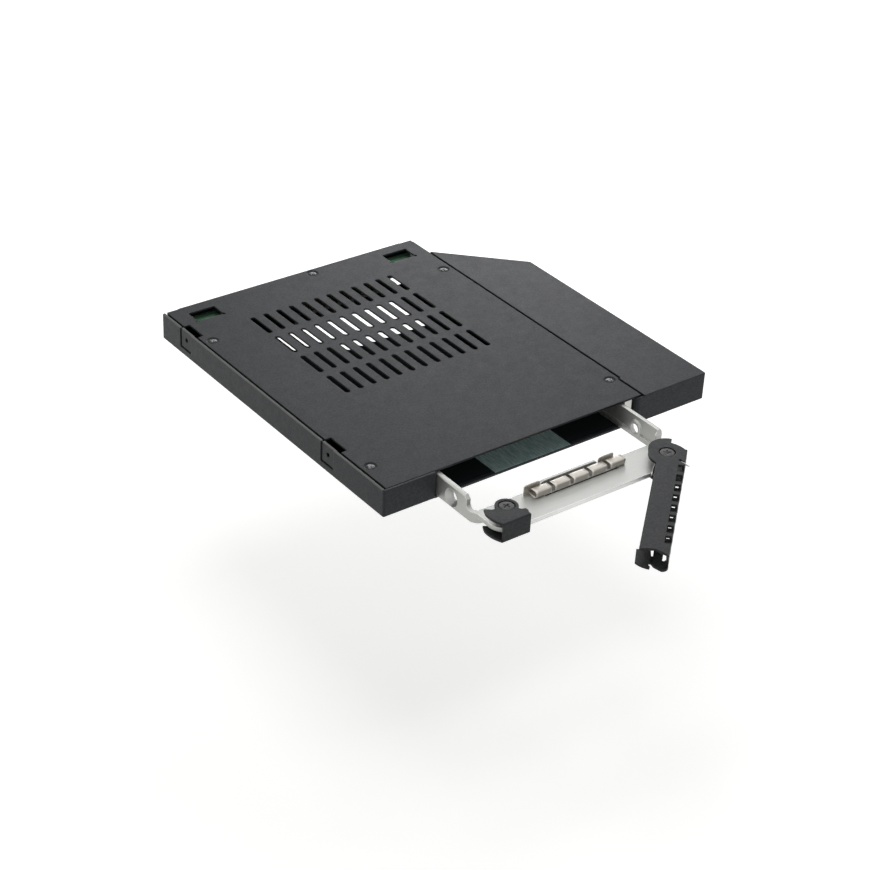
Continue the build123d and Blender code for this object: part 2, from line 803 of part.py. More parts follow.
# The plate in front of the band, with its rib, its slot and the two lugs for the screws.
def front_plate():
    plate_z = (plate_bottom, plate_top)
    plate = block((plate_left, plate_right), (plate_front, band_rear), plate_z)
    left_corner = edge_at(plate, Axis.Z, (plate_left, plate_front, plate_top))
    plate = fillet(left_corner, plate_left_corner)
    right_corner = edge_at(plate, Axis.Z, (plate_right, plate_front, plate_top))
    plate = fillet(right_corner, plate_right_reach)
    rib = block((rib_left, rib_right), (band_rear - rib_sheet, band_rear), (plate_top, rib_top))
    rib_ends = [edge_at(rib, Axis.Y, (x, band_rear, rib_top)) for x in (rib_left, rib_right)]
    plate += fillet(rib_ends, rib_corner)
    plate -= block((slot_left, slot_right), (slot_front, slot_front + slot_width), plate_z)
    clip_lug = (flange_low + flange_sheet, flange_high - flange_sheet)
    plate += upright((clip_screw_x, clip_screw_y), clip_lug_radius, clip_lug)
    plate += upright((pivot_x, pivot_y), lug_radius, lever_lug())
    plate -= upright((pivot_x, pivot_y), pivot_radius, lever_lug())
    return plate - upright((clip_screw_x, clip_screw_y), thread_radius, clip_lug)


# Bottom and top of the lug that the lever turns on.
def lever_lug():
    top = flange_high - flange_sheet - pivot_pad_depth - running_gap
    return flange_low + flange_sheet + running_gap, top


# The finger strip: a flat foot, five rolled fingers and an upright tab at each end.
def finger_strip():
    rear = band_rear - rib_sheet - strip_rib_gap
    front = rear - finger_depth
    half = strip_sheet / 2
    top = plate_top + finger_height
    roll = FilletPolyline(
        (rear - half, plate_top + half), (front + half, plate_top + half),
        (front + half, top - half), (rear - 0.35 * finger_depth, top - half),
        (rear - 0.2 * finger_depth, top - 0.4 * finger_height), radius=finger_round)
    profile = trace(roll, line_width=strip_sheet)
    strip = block((strip_left, strip_left + strip_length), (rear - finger_depth / 2, rear),
                  (plate_top, plate_top + strip_sheet))
    for index in range(finger_count):
        plane = Plane.YZ.offset(strip_left + index * finger_pitch)
        strip += extrude(plane * profile, amount=finger_width)
    for left in (strip_left, strip_left + strip_length - tab_width):
        tab_x = (left + tab_offset, left + tab_offset + tab_width)
        strip += block(tab_x, (rear - strip_sheet, rear), (plate_top, plate_top + tab_height))
    return strip


# The clip's flange: a boss round its screw, a rounded flank on the left and a horn on the right.
def clip_flange():
    left_limit = mouth_left + mouth_gap / 2
    flank = ThreePointArc((left_limit, clip_screw_y), (left_limit + 0.1, clip_front + 3.2), (clip_left, clip_front))
    outline = [
        flank,
        Polyline(
            (clip_left, clip_front), (clip_right, clip_front), (clip_right, clip_front + 1.2),
            (clip_horn, clip_front + 2.0), (clip_horn, clip_front + 3.2),
            (clip_screw_x + 2.6, clip_front + 3.6), (clip_screw_x, clip_screw_y),
            (clip_left + 1.6, clip_screw_y + 0.6), (clip_left - 0.3, clip_screw_y + 2.1),
            (left_limit, clip_screw_y))]
    return make_face(outline) + Pos(clip_screw_x, clip_screw_y) * Circle(clip_boss_radius)


# The folded clip: two flanges and the wall that joins them at the front.
def tray_clip():
    flange = clip_flange()
    low = (flange_low, flange_low + flange_sheet)
    high = (flange_high - flange_sheet, flange_high)
    clip = slab(flange, low) + slab(flange, high)
    clip += block((clip_left, clip_right), (clip_front, clip_front + flange_sheet), (flange_low, flange_high))
    folds = [edge_at(clip, Axis.X, (clip_left + 3, clip_front, z)) for z in (flange_low, flange_high)]
    clip = fillet(folds, flange_sheet / 2)
    place = (clip_screw_x, clip_screw_y)
    clip -= upright(place, pivot_recess_radius, (flange_high - flange_sheet / 2, flange_high))
    return clip - upright(place, thread_radius, (flange_low, flange_high))


# The clip's screw, its head sunk in the upper flange.
def clip_screw():
    place = (clip_screw_x, clip_screw_y)
    seat = flange_high - flange_sheet / 2
    screw = upright(place, thread_radius, (flange_low, seat))
    screw += upright(place, pivot_head_radius, (seat, flange_high))
    return screw - cross_recess(place, flange_high, pivot_head_radius * 0.5, flange_sheet / 4)


# The lever's head: round on its inner side, drawn out to a hook at the rear.
def lever_head():
    hook_start = (0.05 * head_round, -head_round)
    neck = 1.16 * head_round
    heel_end = (lever_wall_start, 0.88 * lever_outer)
    inner = ThreePointArc((neck, lever_inner), (0.68 * head_round, -0.9 * head_round), hook_start)
    back = ThreePointArc(hook_start, (-0.72 * hook_reach, -0.58 * hook_reach), (-hook_reach, -hook_face / 2))
    heel = ThreePointArc((-hook_root, hook_face), (-0.58 * hook_reach, 0.4 * hook_reach), heel_end)
    closing = Polyline(heel_end, (lever_wall_start, lever_outer), (neck, lever_outer), (neck, lever_inner))
    hook = Polyline((-hook_reach, -hook_face / 2), (-hook_reach, hook_face), (-hook_root, hook_face))
    return make_face([inner, back, hook, heel, closing])


# One row of vents along the lever's outer fold, cut over the fold from one flange.
def lever_vent_row(z):
    row = Part()
    pitch = (lever_tip - lever_vent_last - lever_vent_first) / (lever_vent_count - 1)
    for index in range(lever_vent_count):
        x = lever_vent_first + index * pitch
        row += block((x - lever_vent_length / 2, x + lever_vent_length / 2),
                     (lever_vent_inner, lever_outer), z)
    return row


# The folded lever: two flanges and an outer wall, open on its inner side and at its tip.
def lever_arm():
    head = lever_head()
    top_shape = head + outline_of(
        (0, lever_inner), (lever_tip, lever_inner), (lever_tip - 1.0, 1.9),
        (lever_tip + tip_slant, lever_outer), (0, lever_outer))
    tip_end = ThreePointArc((lever_tip - 1.9, lever_outer), (lever_tip - 0.1, 5.6), (lever_tip + 0.6, 4.2))
    tip_line = Polyline((lever_tip + 0.6, 4.2), (lever_tip - 0.9, 1.8), (lever_tip - 2.2, 0.9),
                        (lever_tip - 2.6, lever_inner), (0, lever_inner), (0, lever_outer),
                        (lever_tip - 1.9, lever_outer))
    low_shape = head + make_face([tip_end, tip_line])
    low = (flange_low, flange_low + flange_sheet)
    high = (flange_high - flange_sheet, flange_high)
    arm = slab(top_shape, high) + slab(low_shape, low)
    wall_end = [(lever_wall_start, flange_low), (lever_tip - 2.6, flange_low),
                (lever_tip + tip_slant, flange_high), (lever_wall_start, flange_high)]
    wall = extrude(Plane.XZ * outline_of(*wall_end), amount=-flange_sheet)
    arm += Pos(0, lever_outer - flange_sheet, 0) * wall
    folds = [edge_at(arm, Axis.X, (lever_tip / 2, lever_outer, z)) for z in (flange_low, flange_high)]
    arm = fillet(folds, flange_sheet / 2)
    arm -= lever_vent_row((flange_high - lever_vent_drop, flange_high))
    arm -= lever_vent_row((flange_low, flange_low + lever_vent_drop))
    arm += upright((0, 0), pivot_pad_radius, (high[0] - pivot_pad_depth, high[0]))
    recess = (flange_high - pivot_recess_depth, flange_high)
    arm -= upright((0, 0), pivot_recess_radius, recess)
    arm -= upright((0, 0), pivot_radius + pivot_running, (flange_low, flange_high))
    window_x = (lever_tip - tip_window_start, lever_tip - tip_window_end)
    arm -= block(window_x, (pawl_pin_y, pawl_pin_y + tip_window_width), low)
    slit_x = (lever_tip - tip_slit_start, lever_tip - tip_slit_end)
    arm -= block(slit_x, (lever_vent_inner, lever_vent_inner + tip_slit_width), low)
    arm -= upright((pawl_pin_x, pawl_pin_y), pawl_pin_radius, low)
    return arm - spring_slot(high)


# The opening in the upper flange that the spring's outer leg passes through.
def spring_slot(z):
    rise, end = outer_leg_places()
    half = spring_wire + spring_slot_gap
    sides = outline_of((rise[0] - half, rise[1]), (rise[0] + half, rise[1]),
                       (end[0] + half, end[1]), (end[0] - half, end[1]))
    return upright(rise, half * 1.3, z) + slab(sides, z)


# Where the spring's outer leg rises through the flange and where it ends, in plan.
def outer_leg_places():
    return (3.7, spring_radius + 1.4), (5.9, lever_outer + 1.3)


# The torsion spring, swept along one line: the inner leg along the lever's inner side, the close
# coil round the lug, then the outer leg up through the flange and out over the wall.
def torsion_spring():
    path = Polyline(*spring_line())
    section = Plane(origin=path @ 0, z_dir=path % 0) * Circle(spring_wire)
    return sweep(section, path=path, transition=Transition.RIGHT)


# Points along the spring's centre line. Both legs leave the coil along its tangents.
def spring_line():
    base = plate_top + spring_wire + spring_lift
    tip = Vector(spring_leg_reach, lever_inner - 0.7)
    rise, end = [Vector(*place) for place in outer_leg_places()]
    first = atan2(tip.Y, tip.X) - acos(spring_radius / tip.length)
    last = atan2(rise.Y, rise.X) + acos(spring_radius / rise.length) - 2 * pi * (1 + spring_turn_count)
    steps = spring_step_count * (1 + spring_turn_count)
    coil = []
    for index in range(steps + 1):
        angle = first + (last - first) * index / steps
        height = base + (first - angle) / (2 * pi) * spring_pitch
        coil.append((spring_radius * cos(angle), spring_radius * sin(angle), height))
    leg_z = flange_high - flange_sheet / 2
    outer_leg = [(rise.X, rise.Y, coil[-1][2]), (rise.X, rise.Y, leg_z), (end.X, end.Y, leg_z)]
    return [(tip.X, tip.Y, base)] + coil + outer_leg


# The pivot screw: a flat head in the lever's recess and a plain shank through lug and flanges.
def pivot_screw():
    seat = flange_high - pivot_recess_depth + running_gap
    shank = (flange_low, seat)
    screw = upright((pivot_x, pivot_y), pivot_radius, shank)
    screw += upright((pivot_x, pivot_y), pivot_head_radius, (seat, flange_high))
    return screw - cross_recess((pivot_x, pivot_y), flange_high, pivot_head_radius * 0.5, flange_sheet / 3)


# The latch pawl: a flat plate on the lower flange, thumb edge on its inner side, hooked end.
def latch_pawl():
    bottom = flange_low + flange_sheet + running_gap
    across = pawl_thumb + 0.3
    nose = pawl_tip - 0.14 * pawl_reach
    step = pawl_tip - 0.6 * pawl_reach
    tip_arc = ThreePointArc((nose, across), (pawl_tip - 0.05 * pawl_reach, across / 2), (pawl_tip, 0.8))
    sides = Polyline(
        (pawl_tip, 0.8), (pawl_tip - 0.06 * pawl_reach, 0.9), (pawl_tip - 0.11 * pawl_reach, 0.3),
        (pawl_tip - 0.37 * pawl_reach, 0.8), (pawl_tip - 0.68 * pawl_reach, 0.2),
        (pawl_pin_x, pawl_pin_y + 3 * pawl_pin_radius), (pawl_pin_x - 3 * pawl_pin_radius, pawl_pin_y),
        (pawl_pin_x, pawl_pin_y - 3 * pawl_pin_radius), (step, 0.59 * pawl_thumb),
        (step, pawl_thumb), (nose, across))
    pawl = slab(make_face([tip_arc, sides]), (bottom, bottom + pawl_sheet))
    hole = pawl_pin_radius + pivot_running
    return pawl - upright((pawl_pin_x, pawl_pin_y), hole, (bottom, bottom + pawl_sheet))


# The pawl's pin: a shank in the lower flange with a flat head over the pawl.
def pawl_pin():
    head = flange_low + flange_sheet + 2 * running_gap + pawl_sheet
    place = (pawl_pin_x, pawl_pin_y)
    shank = upright(place, pawl_pin_radius, (flange_low, head))
    return shank + upright(place, 2 * pawl_pin_radius, (head, head + pawl_pin_head))


# Places. The chassis stands still, the tray is pulled out towards the front, and what rides on
# the lever is turned open about the pivot.
chassis_place = Pos(-bay_width / 2, -shell_depth / 2, 0)
tray_place = chassis_place * Pos(0, -pull_out, 0)
lever_place = tray_place * Pos(pivot_x, pivot_y, 0) * Rot(0, 0, lever_turn)

pieces = {
    "base_shell": (chassis_place, base_shell()),
    "top_cover": (chassis_place, top_cover()),
    "wing_shell": (chassis_place, wing_shell()),
    "cover_posts": (chassis_place, cover_posts()),
    "cover_screws": (chassis_place, cover_screws()),
    "guide_rail_left": (chassis_place, guide_rail(-1)),
    "guide_rail_right": (chassis_place, guide_rail(1)),
    "catch_bracket": (chassis_place, catch_bracket()),
    "rivets": (chassis_place, rivets()),
    "backplane_board": (chassis_place, backplane_board()),
    "board_spacers": (chassis_place, board_spacers()),
    "board_screws": (chassis_place, board_screws()),
    "drive_receptacle": (chassis_place, drive_receptacle()),
    "receptacle_contacts": (chassis_place, receptacle_contacts()),
    "rear_connector": (chassis_place, rear_connector()),
    "rear_contacts": (chassis_place, rear_contacts()),
    "tray_frame": (tray_place, tray_frame()),
    "finger_strip": (tray_place, finger_strip()),
    "tray_clip": (tray_place, tray_clip()),
    "clip_screw": (tray_place, clip_screw()),
    "pivot_screw": (tray_place, pivot_screw()),
    "lever_arm": (lever_place, lever_arm()),
    "torsion_spring": (lever_place, torsion_spring()),
    "latch_pawl": (lever_place, latch_pawl()),
    "pawl_pin": (lever_place, pawl_pin()),
}

os.makedirs("parts", exist_ok=True)
for name, (place, shape) in pieces.items():
    solids = shape if isinstance(shape, list) else [shape]
    placed = [place * solid for solid in solids]
    whole = placed[0] if len(placed) == 1 else Compound(children=placed)
    export_step(whole, f"parts/{name}.step")
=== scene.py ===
import json

import bpy
import numpy as np
from mathutils import Matrix, Vector


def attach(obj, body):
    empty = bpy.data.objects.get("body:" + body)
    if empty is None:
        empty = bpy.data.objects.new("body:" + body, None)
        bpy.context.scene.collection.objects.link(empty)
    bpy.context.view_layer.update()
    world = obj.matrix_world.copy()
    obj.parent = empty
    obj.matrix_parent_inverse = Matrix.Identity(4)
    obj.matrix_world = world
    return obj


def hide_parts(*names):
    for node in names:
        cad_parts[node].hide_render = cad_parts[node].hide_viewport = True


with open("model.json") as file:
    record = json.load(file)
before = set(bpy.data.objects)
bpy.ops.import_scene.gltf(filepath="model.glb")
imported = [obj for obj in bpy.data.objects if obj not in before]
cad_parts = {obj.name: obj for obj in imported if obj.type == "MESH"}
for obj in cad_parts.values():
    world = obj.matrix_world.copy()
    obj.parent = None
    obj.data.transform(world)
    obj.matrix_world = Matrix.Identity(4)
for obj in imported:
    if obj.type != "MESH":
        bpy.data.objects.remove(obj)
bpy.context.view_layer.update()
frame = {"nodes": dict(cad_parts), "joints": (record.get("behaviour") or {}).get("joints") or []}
nodes = frame["nodes"]
print("frame loaded,", len(nodes), "nodes")

mm = 0.001
bayMiddle = np.array([64.0, 63.4, 0.0])  # the origin, in mm from the bay's front left corner
traySlide = 30.5  # mm that the tray stands out of its closed place
flatCosine = 0.995


# Places in mm from the bay's front left corner, as places in the frame: (p - bayMiddle) / 1000.
def fromBay(points):
    return (np.asarray(points, float) - bayMiddle) * mm


# Camera, floor and lamps, in metres. The camera comes from a fit to the photograph's corners of the
# chassis.

studio = {
    "cameraPlace": (-0.3793, -0.4890, 0.3618),
    "cameraRight": (0.80278641, -0.5947585, 0.04238291),
    "cameraDown": (-0.28754283, -0.44842469, -0.84630634),
    "cameraView": (0.52235343, 0.66721633, -0.53100779),
    "lens": 89.77,
    "floorHeight": -0.078,
    "floorHalf": 8.0,
    "floorColour": 0.88,
    "floorGlow": (0.60, 1.0),  # under the object, and from glowReach outwards
    "glowReach": (0.16, 0.45),
    "skyLight": 0.10,
}
lamps = {
    "overhead": {"place": (0.04, 0.18, 0.90), "aim": (0, 0, 0), "size": (0.5, 0.5), "watts": 2.0},
    "rearCorner": {"place": (0.27, 0.32, 0.15), "aim": (0.04, 0.04, 0), "size": (0.22, 0.20),
                   "watts": 0.50},
    "rightSide": {"place": (0.33, 0.02, 0.26), "aim": (0, 0, 0), "size": (0.25, 0.25),
                  "watts": 0.20},
    "leftSide": {"place": (-0.42, 0.22, 0.14), "aim": (-0.06, 0, 0), "size": (0.30, 0.25),
                 "watts": 0.58, "colour": (1.0, 1.0, 0.86)},
    "frontFill": {"place": (-0.12, -1.00, 0.30), "aim": (0, 0, 0), "size": (0.8, 0.5),
                  "watts": 1.65, "colour": (0.96, 1.0, 0.92)},
}


def setCamera():
    camera = bpy.data.objects.new("camera", bpy.data.cameras.new("camera"))
    bpy.context.collection.objects.link(camera)
    camera.data.lens = studio["lens"]
    camera.data.clip_start = 0.01
    right, down, view = (Vector(studio[key]) for key in ("cameraRight", "cameraDown", "cameraView"))
    turn = Matrix((right, -down, -view)).transposed()
    camera.matrix_world = Matrix.Translation(studio["cameraPlace"]) @ turn.to_4x4()
    bpy.context.scene.camera = camera


def addLamp(name, setting):
    lamp = bpy.data.objects.new(name, bpy.data.lights.new(name, "AREA"))
    bpy.context.collection.objects.link(lamp)
    lamp.data.shape = "RECTANGLE"
    lamp.data.size, lamp.data.size_y = setting["size"]
    lamp.data.energy = setting["watts"]
    lamp.data.color = setting.get("colour", (1, 1, 1))
    lamp.location = setting["place"]
    lamp.rotation_mode = "QUATERNION"
    reach = Vector(setting["aim"]) - Vector(setting["place"])
    lamp.rotation_quaternion = reach.to_track_quat("-Z", "Y")


# Small helpers for the node trees

def addNode(tree, kind, sockets=None, **settings):
    made = tree.nodes.new(kind)
    for name, value in settings.items():
        setattr(made, name, value)
    for name, value in (sockets or {}).items():
        if isinstance(value, bpy.types.NodeSocket):
            tree.links.new(value, made.inputs[name])
        else:
            made.inputs[name].default_value = value
    return made


def newMaterial(name):
    material = bpy.data.materials.new(name)
    material.use_nodes = True
    material.node_tree.nodes.clear()
    return material, material.node_tree


def objectPlace(tree):
    return addNode(tree, "ShaderNodeTexCoord").outputs["Object"]


def mathOf(tree, operation, *values):
    sockets = dict(enumerate(values))
    return addNode(tree, "ShaderNodeMath", sockets, operation=operation).outputs[0]


# Noise around a half: most of it lies between 0.3 and 0.7, the range that the finishes spread out.
def noiseOf(tree, place, scale, detail=3.0, roughness=0.55):
    sockets = {"Vector": place, "Scale": scale, "Detail": detail, "Roughness": roughness}
    return addNode(tree, "ShaderNodeTexNoise", sockets).outputs["Fac"]


def spread(tree, value, low, high, toLow, toHigh):
    sockets = {"Value": value, "From Min": low, "From Max": high, "To Min": toLow, "To Max": toHigh}
    return addNode(tree, "ShaderNodeMapRange", sockets).outputs["Result"]


def stretched(tree, place, scale):
    return addNode(tree, "ShaderNodeMapping", {"Vector": place, "Scale": scale}).outputs["Vector"]


def mixColour(tree, factor, first, second):
    sockets = {0: factor, 6: first, 7: second}
    return addNode(tree, "ShaderNodeMix", sockets, data_type="RGBA").outputs[2]


# 1 inside a box given in mm from the bay's corner, 0 outside it: on each axis |p - middle| <= half,
# and the three multiplied.
def insideBox(tree, place, box):
    low, high = fromBay(box["low"]), fromBay(box["high"])
    axes = addNode(tree, "ShaderNodeSeparateXYZ", {0: place}).outputs
    tests = [mathOf(tree, "COMPARE", axes[i], (low[i] + high[i]) / 2, (high[i] - low[i]) / 2)
             for i in range(3)]
    return mathOf(tree, "MULTIPLY", mathOf(tree, "MULTIPLY", tests[0], tests[1]), tests[2])


def roundedNormal(tree, radius):
    return addNode(tree, "ShaderNodeBevel", {"Radius": radius}, samples=6).outputs["Normal"]


# The colour, with each patch's own colour inside that patch's box.
def withPatches(tree, place, colour, patches):
    for patch in patches:
        colour = mixColour(tree, insideBox(tree, place, patch), colour, (*patch["colour"], 1))
    return colour


# 0 on flat faces and 1 on edges, from how far the rounded normal leans away from the face: the
# cosine between them, from flatCosine down to low.
def edgeMask(tree, rounded, low):
    face = addNode(tree, "ShaderNodeNewGeometry").outputs["True Normal"]
    lean = addNode(tree, "ShaderNodeVectorMath", {0: rounded, 1: face}, operation="DOT_PRODUCT")
    return spread(tree, lean.outputs["Value"], flatCosine, low, 0.0, 1.0)


def finishTree(tree, shader):
    addNode(tree, "ShaderNodeOutputMaterial", {"Surface": shader})


# Finishes

# Fine powder coat on sheet: a mottled dark colour and a small grain, with edges lighter partly from
# rubbing and partly as a painted highlight. In the inside box one darker matt colour is painted
# shade, and in the bare box the metal shows with drawn streaks.
def paintedSteel(name, look):
    material, tree = newMaterial(name)
    place = objectPlace(tree)
    mottle = spread(tree, noiseOf(tree, place, look["mottleScale"], 4.0), 0.3, 0.7, 0.0, 1.0)
    colour = mixColour(tree, mottle, (*look["dark"], 1), (*look["light"], 1))
    speck = spread(tree, noiseOf(tree, place, look["grainScale"] * 0.7, 2.0), 0.35, 0.65, 0.0, 1.0)
    speck = mathOf(tree, "MULTIPLY", speck, look["speckle"])
    colour = mixColour(tree, speck, colour, (*look["fleck"], 1))
    rounded = roundedNormal(tree, look["edgeRadius"])
    # Edges lighten towards a paler colour: partly rubbing of the paint, partly a painted highlight.
    wornAndLitEdge = edgeMask(tree, rounded, look["edgeLow"])
    patchy = spread(tree, noiseOf(tree, place, look["wearScale"], 3.0), 0.42, 0.6, 0.25, 1.0)
    rubAndHighlight = mathOf(tree, "MULTIPLY", mathOf(tree, "MULTIPLY", wornAndLitEdge, patchy), look["wearAndHighlight"])
    colour = mixColour(tree, rubAndHighlight, colour, (*look["rubbedAndHighlit"], 1))
    colour = withPatches(tree, place, colour, look.get("patches", ()))
    # Inside the chassis the colour is painted shade, one darker colour for the hollow.
    if "inside" in look:
        insideShadeMask = insideBox(tree, place, look["inside"])
        colour = mixColour(tree, insideShadeMask, colour, (*look["inside"]["colour"], 1))
    if "bare" in look:
        bare = look["bare"]
        mask = insideBox(tree, place, bare)
        lines = noiseOf(tree, stretched(tree, place, bare["streakScale"]), 1.0, 3.0, 0.7)
        tone = spread(tree, lines, 0.40, 0.60, 0.0, 1.0)
        streaks = mixColour(tree, tone, (*bare["dark"], 1), (*bare["light"], 1))
        colour = mixColour(tree, mask, colour, streaks)
    cloud = noiseOf(tree, place, look["mottleScale"] * 6, 3.0)
    rough = spread(tree, cloud, 0.3, 0.7, *look["roughness"])
    if "inside" in look:
        rough = mathOf(tree, "MAXIMUM", rough, insideShadeMask)
    grain = noiseOf(tree, place, look["grainScale"], 2.0)
    bump = addNode(tree, "ShaderNodeBump", {
        "Strength": look["grain"], "Distance": 0.00004, "Height": grain, "Normal": rounded})
    shader = addNode(tree, "ShaderNodeBsdfPrincipled", {
        "Base Color": colour, "Roughness": rough, "Specular IOR Level": look["specular"],
        "Normal": bump.outputs["Normal"]})
    finishTree(tree, shader.outputs["BSDF"])
    return material


# Bare sheet: drawn streaks along one axis, faint stains and bright edges, partly burnished metal
# and partly a painted highlight.
def sheetMetal(name, look):
    material, tree = newMaterial(name)
    place = objectPlace(tree)
    streak = noiseOf(tree, stretched(tree, place, look["streakScale"]), 1.0, 4.0, 0.65)
    tone = spread(tree, streak, 0.3, 0.7, 0.0, 1.0)
    colour = mixColour(tree, tone, (*look["dark"], 1), (*look["light"], 1))
    colour = withPatches(tree, place, colour, look.get("patches", ()))
    cloud = noiseOf(tree, place, look["stainScale"], 5.0, 0.6)
    stain = spread(tree, cloud, 0.5, 0.75, 0.0, look["stainAmount"])
    colour = mixColour(tree, stain, colour, (*look["stain"], 1))
    rounded = roundedNormal(tree, look["edgeRadius"])
    # The edge colour is partly burnished metal and partly a painted highlight along the rounded
    # edges.
    edge = mathOf(tree, "MULTIPLY", edgeMask(tree, rounded, look["edgeLow"]), look["burnishAndHighlight"])
    colour = mixColour(tree, edge, colour, (*look["edge"], 1))
    rough = spread(tree, streak, 0.3, 0.7, *look["roughness"])
    bump = addNode(tree, "ShaderNodeBump", {
        "Strength": look["grain"], "Distance": 0.00002, "Height": streak, "Normal": rounded})
    shader = addNode(tree, "ShaderNodeBsdfPrincipled", {
        "Base Color": colour, "Metallic": look["metallic"], "Roughness": rough,
        "Normal": bump.outputs["Normal"]})
    finishTree(tree, shader.outputs["BSDF"])
    return material


# Lacquered board: green mask over copper runs that show as paler lines.
def solderMask(name, look):
    material, tree = newMaterial(name)
    place = objectPlace(tree)
    runs = addNode(tree, "ShaderNodeTexBrick", {
        "Vector": place, "Scale": look["runScale"], "Mortar Size": 0.09,
        "Mortar Smooth": 0.1, "Brick Width": 2.6, "Row Height": 0.55}).outputs["Fac"]
    cloud = spread(tree, noiseOf(tree, place, look["pourScale"], 2.0), 0.4, 0.6, 0.0, 1.0)
    colour = mixColour(tree, cloud, (*look["mask"], 1), (*look["pour"], 1))
    shown = mathOf(tree, "MULTIPLY", runs, look["runShows"])
    colour = mixColour(tree, shown, colour, (*look["run"], 1))
    colour = withPatches(tree, place, colour, look["patches"])
    bump = addNode(tree, "ShaderNodeBump", {"Strength": 0.4, "Distance": 0.00005, "Height": runs})
    shader = addNode(tree, "ShaderNodeBsdfPrincipled", {
        "Base Color": colour, "Roughness": look["roughness"], "Normal": bump.outputs["Normal"]})
    finishTree(tree, shader.outputs["BSDF"])
    return material


# Glass-filled plastic: a dark colour with a fine spark-eroded grain.
def mouldedPlastic(name, look):
    material, tree = newMaterial(name)
    place = objectPlace(tree)
    grain = noiseOf(tree, place, look["grainScale"], 2.0)
    tone = spread(tree, grain, 0.35, 0.65, 0.0, 1.0)
    colour = mixColour(tree, tone, (*look["dark"], 1), (*look["light"], 1))
    rough = spread(tree, noiseOf(tree, place, look["cloudScale"]), 0.3, 0.7, *look["roughness"])
    rounded = roundedNormal(tree, look["edgeRadius"])
    bump = addNode(tree, "ShaderNodeBump", {
        "Strength": look["grain"], "Distance": 0.00003, "Height": grain, "Normal": rounded})
    shader = addNode(tree, "ShaderNodeBsdfPrincipled", {
        "Base Color": colour, "Roughness": rough, "Normal": bump.outputs["Normal"]})
    finishTree(tree, shader.outputs["BSDF"])
    return material


# Colours are linear, scales are per metre, edge radii are in metres and boxes in mm from the bay's
# front left corner.
# The paler edge colour and its amount are partly rubbing and partly a painted highlight on the
# edges.
chassisPaint = {
    "dark": (0.0275, 0.0297, 0.0345), "light": (0.0300, 0.0322, 0.0370),
    "fleck": (0.064, 0.068, 0.075), "rubbedAndHighlit": (0.15, 0.15, 0.15),
    "mottleScale": 60.0, "grainScale": 2600.0, "speckle": 0.45,
    "grain": 0.7, "roughness": (0.48, 0.56), "specular": 0.165, "edgeRadius": 0.00030,
    "edgeLow": 0.80, "wearAndHighlight": 0.22, "wearScale": 420.0,
}
# Painted shade: inside the chassis the paint is darkened to near black where shade falls in the
# hollow.
paintedShadeInsideChassis = {
    "low": (0.7, 1.6, 0.7), "high": (101.9, 126.2, 8.92), "colour": (0.0085, 0.0115, 0.0130),
}
# Painted shadow: the cover's front edge face is painted near black, as it sits in shadow.
coverLipShade = {"low": (26.0, 0.95, 8.80), "high": (97.5, 1.25, 9.38), "colour": (0.006, 0.007, 0.008)}
coverPaint = dict(chassisPaint, inside=paintedShadeInsideChassis, patches=[coverLipShade], specular=0.135)
# Painted highlight: the rounded top of the left wall is painted lighter.
leftRimHighlight = {"low": (-0.1, 1.0, 9.30), "high": (0.90, 127.2, 9.60), "colour": (0.150, 0.154, 0.154)}
# Painted shade: the top of the lane wall, down in the seam under the cover, is painted near black.
laneWallTopShade = {
    "low": (101.9, 115.5, 8.40), "high": (102.9, 127.2, 9.00), "colour": (0.006, 0.007, 0.008),
}
basePaint = dict(chassisPaint, inside=paintedShadeInsideChassis, patches=[leftRimHighlight, laneWallTopShade], bare={
    "low": (42.5, 0.5, 0.70), "high": (72.4, 60.0, 0.90), "streakScale": (1900.0, 240.0, 240.0),
    "dark": (0.47, 0.73, 0.73), "light": (0.80, 1.00, 0.99)})
leverPaint = dict(chassisPaint, dark=(0.0245, 0.0255, 0.0275), light=(0.0285, 0.0295, 0.0315),
                  rubbedAndHighlit=(0.20, 0.19, 0.18), roughness=(0.42, 0.52), specular=0.145, wearAndHighlight=0.30,
                  edgeRadius=0.00022)
# The tray's pale edge colour is a painted highlight on its rounded edges, partly burnished metal.
traySheet = {
    "dark": (0.405, 0.41, 0.395), "light": (0.465, 0.47, 0.455), "stain": (0.38, 0.38, 0.37),
    "edge": (0.86, 0.86, 0.85), "streakScale": (60.0, 2400.0, 2400.0), "stainScale": 70.0,
    "stainAmount": 0.35, "burnishAndHighlight": 0.8, "roughness": (0.40, 0.54), "grain": 0.25,
    "metallic": 0.80, "edgeRadius": 0.00035, "edgeLow": 0.80,
}
# Painted shade: a dark band on the plate along its slot, where shade falls in the opening.
slotShadeInPlate = {
    "low": (43.4, -22.25, 3.0), "high": (72.5, -21.45, 4.58), "colour": (0.06, 0.05, 0.04),
}
